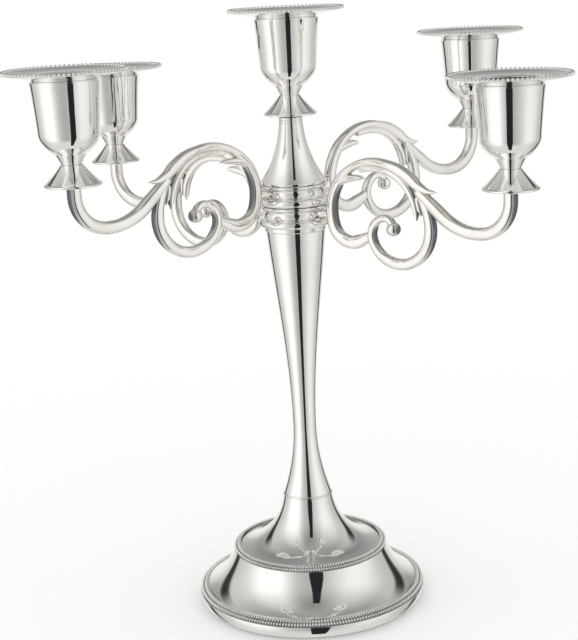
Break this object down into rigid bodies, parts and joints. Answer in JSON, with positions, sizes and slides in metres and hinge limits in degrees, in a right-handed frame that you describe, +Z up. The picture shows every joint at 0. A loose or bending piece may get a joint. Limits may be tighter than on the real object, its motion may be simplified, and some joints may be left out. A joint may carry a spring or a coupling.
{
  "type": "tabletop candelabra",
  "caption": "Tabletop candelabra: round beaded base, waisted stem, swinging pairs of scroll arms on hub rings, screw-on candle cups and loose drip pans.",
  "frame": {"origin": "centre of the felt's underside, where the base stands on the table", "axes": "+Z up the stem; +X along the lower pair of arms, towards the right-hand arm; the upper pair lies 77.7 degrees anticlockwise from X"},
  "size_m": [0.2716, 0.2664, 0.27],
  "materials": {
    "silver_plate": "polished silver plate",
    "silver_casting": "polished cast silver plate",
    "silver_beading": "beaded silver plate, darker between the beads",
    "silver_pan": "bright spun silver plate",
    "steel": "turned zinc-plated steel",
    "felt": "dark wool felt"
  },
  "bodies": {
    "base": {"felt_pad": "felt", "bottom_plate": "steel", "base_shell": "silver_plate", "border_outer": "silver_beading", "border_inner": "silver_beading", "pedestal": "silver_plate", "stem": "silver_plate", "stem_collar": "silver_plate", "tie_rod": "steel", "rod_washer": "steel", "rod_nut": "steel", "finial": "silver_plate", "cup_stud_centre": "steel"},
    "lower_arms": {"hub_ring_lower": "silver_plate", "arm_right": "silver_casting", "arm_left": "silver_casting", "cup_stud_right": "steel", "cup_stud_left": "steel"},
    "upper_arms": {"hub_ring_upper": "silver_plate", "arm_back": "silver_casting", "arm_front": "silver_casting", "cup_stud_back": "steel", "cup_stud_front": "steel"},
    "skirt_centre": {"skirt_centre": "silver_plate"},
    "cup_centre": {"candle_cup_centre": "silver_plate"},
    "pan_centre": {"drip_pan_centre": "silver_pan"},
    "skirt_right": {"skirt_right": "silver_plate"},
    "cup_right": {"candle_cup_right": "silver_plate"},
    "pan_right": {"drip_pan_right": "silver_pan"},
    "skirt_left": {"skirt_left": "silver_plate"},
    "cup_left": {"candle_cup_left": "silver_plate"},
    "pan_left": {"drip_pan_left": "silver_pan"},
    "skirt_back": {"skirt_back": "silver_plate"},
    "cup_back": {"candle_cup_back": "silver_plate"},
    "pan_back": {"drip_pan_back": "silver_pan"},
    "skirt_front": {"skirt_front": "silver_plate"},
    "cup_front": {"candle_cup_front": "silver_plate"},
    "pan_front": {"drip_pan_front": "silver_pan"}
  },
  "joints": [
    {"name": "lower_arms_swing", "type": "hinge", "parent": "base", "child": "lower_arms", "pos_m": [0, 0, 0.1756], "axis": [0, 0, 1], "continuous": true},
    {"name": "upper_arms_swing", "type": "hinge", "parent": "lower_arms", "child": "upper_arms", "pos_m": [0, 0, 0.1851], "axis": [0, 0, 1], "range_deg": [-52, 76]},
    {"name": "cup_turn_centre", "type": "hinge", "parent": "base", "child": "skirt_centre", "pos_m": [0, 0, 0.2232], "axis": [0, 0, 1], "range_deg": [0, 2160]},
    {"name": "cup_rise_centre", "type": "slide", "parent": "skirt_centre", "child": "cup_centre", "axis": [0, 0, 1], "range_m": [0, 0.0042]},
    {"name": "pan_lift_centre", "type": "slide", "parent": "cup_centre", "child": "pan_centre", "axis": [0, 0, 1], "range_m": [0, 0.04]},
    {"name": "cup_turn_right", "type": "hinge", "parent": "lower_arms", "child": "skirt_right", "pos_m": [0.11066, 0, 0.19697], "axis": [0, 0, 1], "range_deg": [0, 2160]},
    {"name": "cup_rise_right", "type": "slide", "parent": "skirt_right", "child": "cup_right", "axis": [0, 0, 1], "range_m": [0, 0.0042]},
    {"name": "pan_lift_right", "type": "slide", "parent": "cup_right", "child": "pan_right", "axis": [0, 0, 1], "range_m": [0, 0.04]},
    {"name": "cup_turn_left", "type": "hinge", "parent": "lower_arms", "child": "skirt_left", "pos_m": [-0.11066, 0, 0.19697], "axis": [0, 0, 1], "range_deg": [0, 2160]},
    {"name": "cup_rise_left", "type": "slide", "parent": "skirt_left", "child": "cup_left", "axis": [0, 0, 1], "range_m": [0, 0.0042]},
    {"name": "pan_lift_left", "type": "slide", "parent": "cup_left", "child": "pan_left", "axis": [0, 0, 1], "range_m": [0, 0.04]},
    {"name": "cup_turn_back", "type": "hinge", "parent": "upper_arms", "child": "skirt_back", "pos_m": [0.02357, 0.10812, 0.20647], "axis": [0, 0, 1], "range_deg": [0, 2160]},
    {"name": "cup_rise_back", "type": "slide", "parent": "skirt_back", "child": "cup_back", "axis": [0, 0, 1], "range_m": [0, 0.0042]},
    {"name": "pan_lift_back", "type": "slide", "parent": "cup_back", "child": "pan_back", "axis": [0, 0, 1], "range_m": [0, 0.04]},
    {"name": "cup_turn_front", "type": "hinge", "parent": "upper_arms", "child": "skirt_front", "pos_m": [-0.02357, -0.10812, 0.20647], "axis": [0, 0, 1], "range_deg": [0, 2160]},
    {"name": "cup_rise_front", "type": "slide", "parent": "skirt_front", "child": "cup_front", "axis": [0, 0, 1], "range_m": [0, 0.0042]},
    {"name": "pan_lift_front", "type": "slide", "parent": "cup_front", "child": "pan_front", "axis": [0, 0, 1], "range_m": [0, 0.04]}
  ],
  "couplings": [
    {"joint": "cup_rise_centre", "follows": "cup_turn_centre", "m_per_rad": 0.00011141},
    {"joint": "cup_rise_right", "follows": "cup_turn_right", "m_per_rad": 0.00011141},
    {"joint": "cup_rise_left", "follows": "cup_turn_left", "m_per_rad": 0.00011141},
    {"joint": "cup_rise_back", "follows": "cup_turn_back", "m_per_rad": 0.00011141},
    {"joint": "cup_rise_front", "follows": "cup_turn_front", "m_per_rad": 0.00011141}
  ]
}
